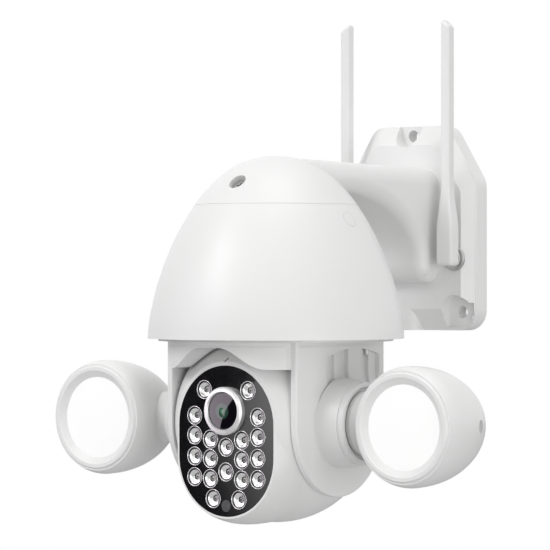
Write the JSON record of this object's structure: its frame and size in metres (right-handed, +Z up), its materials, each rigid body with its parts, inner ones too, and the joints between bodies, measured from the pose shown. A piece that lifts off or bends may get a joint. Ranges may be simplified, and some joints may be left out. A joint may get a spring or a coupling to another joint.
{
  "type": "floodlight security camera",
  "caption": "Wall-mounted dome camera with a panning yoke, a tilting eye ringed with lights, round side floodlights and swinging antennas.",
  "frame": {"origin": "centre of the back of the wall plate, on the wall plane", "axes": "+Y into the wall, +Z up, +X to the right for someone looking at the wall; the camera hangs out towards -Y"},
  "size_m": [0.256, 0.1968, 0.2631],
  "materials": {
    "housing_white": "satin",
    "inner_plastic": "moulded",
    "rubber_seal": "matt",
    "face_black": "gloss",
    "barrel_black": "matt",
    "lens_glass": "polished",
    "ring_silver": "satin",
    "cup_chrome": "polished",
    "emitter_white": "gloss",
    "emitter_infrared": "gloss",
    "sensor_grey": "gloss",
    "board_green": "satin",
    "component_black": "matt",
    "screw_steel": "satin",
    "motor_steel": "plated",
    "bearing_brass": "turned",
    "board_aluminium": "satin",
    "lamp_opal": "opal"
  },
  "bodies": {
    "housing": {"wall_plate": "housing_white", "cable_grommet": "rubber_seal", "cap_and_arm": "housing_white", "arm_screws": "screw_steel", "dome_skirt": "housing_white", "skirt_plugs": "housing_white", "cap_gasket": "rubber_seal", "cap_screw": "screw_steel", "deck_plate": "inner_plastic", "pan_bearing": "bearing_brass", "pan_motor": "motor_steel", "board_standoffs": "bearing_brass", "main_board": "board_green", "board_parts": "component_black", "antenna_socket_left": "screw_steel", "antenna_socket_right": "screw_steel"},
    "pinion": {"pan_pinion": "inner_plastic"},
    "yoke": {"turntable": "housing_white", "yoke_screws": "screw_steel", "pan_gear": "inner_plastic", "front_visor": "housing_white", "rear_visor": "housing_white", "yoke_side_left": "housing_white", "yoke_side_right": "housing_white", "lamp_collar_left": "housing_white", "lamp_collar_right": "housing_white", "tilt_shaft": "inner_plastic", "tilt_stub": "inner_plastic"},
    "eye": {"eye_shell": "housing_white", "eye_rear_cap": "housing_white", "eye_panel": "face_black", "led_cups": "cup_chrome", "emitters_white": "emitter_white", "emitters_infrared": "emitter_infrared", "led_board": "board_green", "lens_ring": "ring_silver", "lens_glass": "lens_glass", "lens_barrel": "barrel_black", "sensor_board": "board_green", "light_sensor": "sensor_grey", "tilt_motor": "motor_steel", "tilt_bush_left": "bearing_brass", "tilt_bush_right": "bearing_brass"},
    "lamp_left": {"lamp_shell_left": "housing_white", "lamp_screw_left": "screw_steel", "lamp_bezel_left": "housing_white", "lamp_diffuser_left": "lamp_opal", "lamp_board_left": "board_aluminium", "lamp_neck_left": "housing_white"},
    "antenna_left": {"antenna_paddle_left": "housing_white", "antenna_pivot_left": "inner_plastic"},
    "lamp_right": {"lamp_shell_right": "housing_white", "lamp_screw_right": "screw_steel", "lamp_bezel_right": "housing_white", "lamp_diffuser_right": "lamp_opal", "lamp_board_right": "board_aluminium", "lamp_neck_right": "housing_white"},
    "antenna_right": {"antenna_paddle_right": "housing_white", "antenna_pivot_right": "inner_plastic"}
  },
  "joints": [
    {"name": "pan", "type": "hinge", "parent": "housing", "child": "yoke", "pos_m": [0, -0.131, -0.038], "axis": [0, 0, 1], "range_deg": [-177, 177]},
    {"name": "pan_pinion_spin", "type": "hinge", "parent": "housing", "child": "pinion", "pos_m": [0.015, -0.10502, -0.03], "axis": [0, 0, 1], "range_deg": [-720, 720]},
    {"name": "tilt", "type": "hinge", "parent": "yoke", "child": "eye", "pos_m": [0, -0.131, -0.1], "axis": [1, 0, 0], "range_deg": [0, 90]},
    {"name": "lamp_tilt_left", "type": "hinge", "parent": "yoke", "child": "lamp_left", "pos_m": [-0.06, -0.131, -0.1], "axis": [1, 0, 0], "range_deg": [-60, 90]},
    {"name": "lamp_tilt_right", "type": "hinge", "parent": "yoke", "child": "lamp_right", "pos_m": [0.06, -0.131, -0.1], "axis": [1, 0, 0], "range_deg": [-60, 90]},
    {"name": "antenna_swing_left", "type": "hinge", "parent": "housing", "child": "antenna_left", "pos_m": [-0.033, -0.02, -0.0166], "axis": [0, -1, 0], "range_deg": [0, 90]},
    {"name": "antenna_swing_right", "type": "hinge", "parent": "housing", "child": "antenna_right", "pos_m": [0.033, -0.02, -0.0166], "axis": [0, 1, 0], "range_deg": [0, 90]}
  ],
  "couplings": [
    {"joint": "pan_pinion_spin", "follows": "pan", "ratio": -4}
  ]
}
